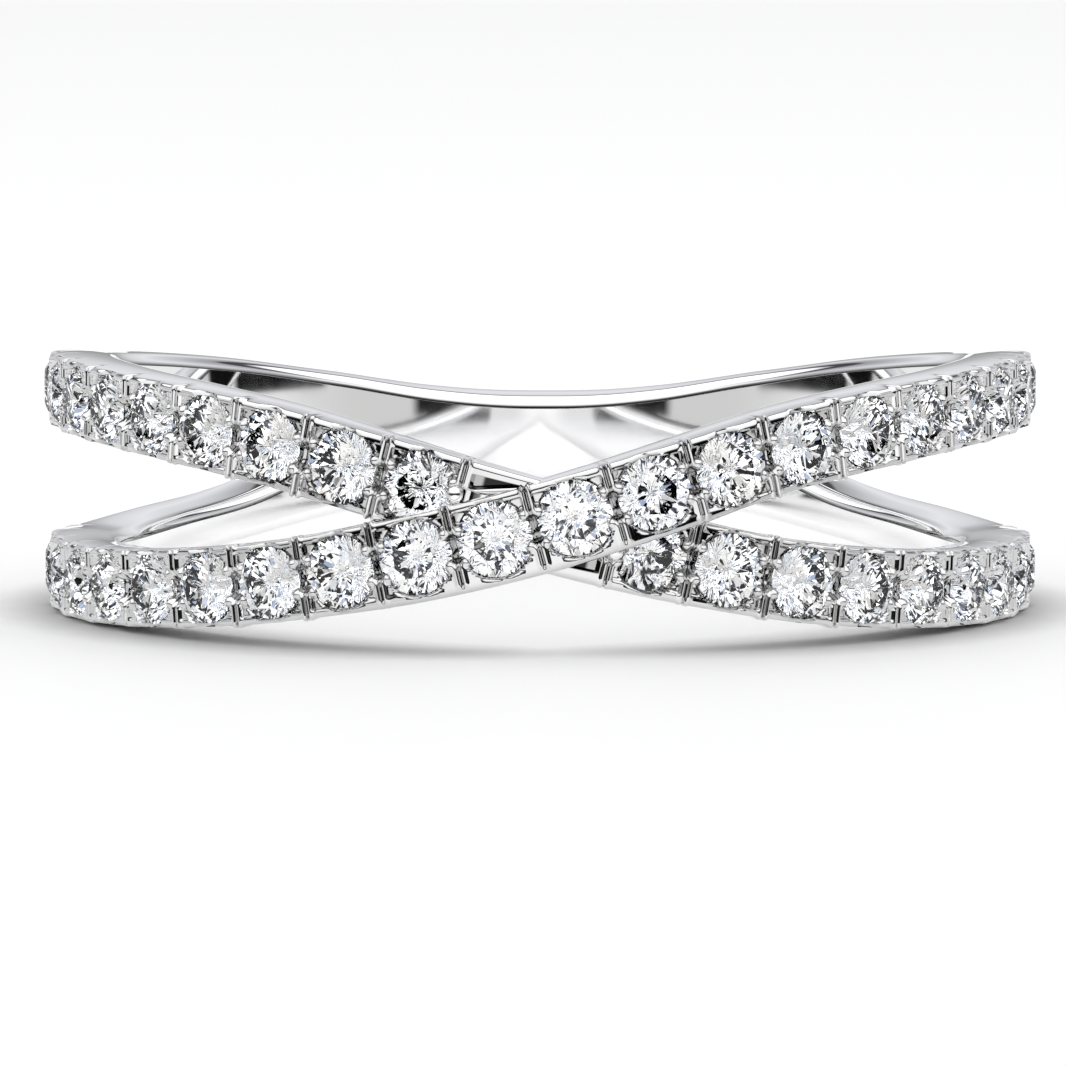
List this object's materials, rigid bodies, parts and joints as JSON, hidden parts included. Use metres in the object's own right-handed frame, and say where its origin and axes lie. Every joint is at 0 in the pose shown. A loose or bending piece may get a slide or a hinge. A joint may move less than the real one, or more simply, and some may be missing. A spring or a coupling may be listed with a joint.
{
  "type": "finger ring",
  "caption": "Criss-cross ring: two stone-set bands cross at the front and join in one plain shank at the back.",
  "frame": {"origin": "on the axis of the finger hole, in the plane that the ring's lowest edges rest on", "axes": "+Z along the axis of the finger hole, up as the ring lies on its side; the crossing of the bands faces -Y"},
  "size_m": [0.0204, 0.0204, 0.0053],
  "materials": {
    "white_metal": "polished",
    "moissanite": "polished"
  },
  "bodies": {
    "root": {"ring_body": "white_metal", "over_stone_left_1": "moissanite", "over_stone_left_2": "moissanite", "over_stone_left_3": "moissanite", "over_stone_left_4": "moissanite", "over_stone_left_5": "moissanite", "over_stone_left_6": "moissanite", "over_stone_left_7": "moissanite", "over_stone_left_8": "moissanite", "over_stone_left_9": "moissanite", "over_stone_left_10": "moissanite", "over_stone_left_11": "moissanite", "over_stone_right_1": "moissanite", "over_stone_right_2": "moissanite", "over_stone_right_3": "moissanite", "over_stone_right_4": "moissanite", "over_stone_right_5": "moissanite", "over_stone_right_6": "moissanite", "over_stone_right_7": "moissanite", "over_stone_right_8": "moissanite", "over_stone_right_9": "moissanite", "over_stone_right_10": "moissanite", "over_stone_right_11": "moissanite", "under_stone_left_1": "moissanite", "under_stone_left_2": "moissanite", "under_stone_left_3": "moissanite", "under_stone_left_4": "moissanite", "under_stone_left_5": "moissanite", "under_stone_left_6": "moissanite", "under_stone_left_7": "moissanite", "under_stone_left_8": "moissanite", "under_stone_left_9": "moissanite", "under_stone_left_10": "moissanite", "under_stone_right_1": "moissanite", "under_stone_right_2": "moissanite", "under_stone_right_3": "moissanite", "under_stone_right_4": "moissanite", "under_stone_right_5": "moissanite", "under_stone_right_6": "moissanite", "under_stone_right_7": "moissanite", "under_stone_right_8": "moissanite", "under_stone_right_9": "moissanite", "under_stone_right_10": "moissanite"}
  },
  "joints": []
}
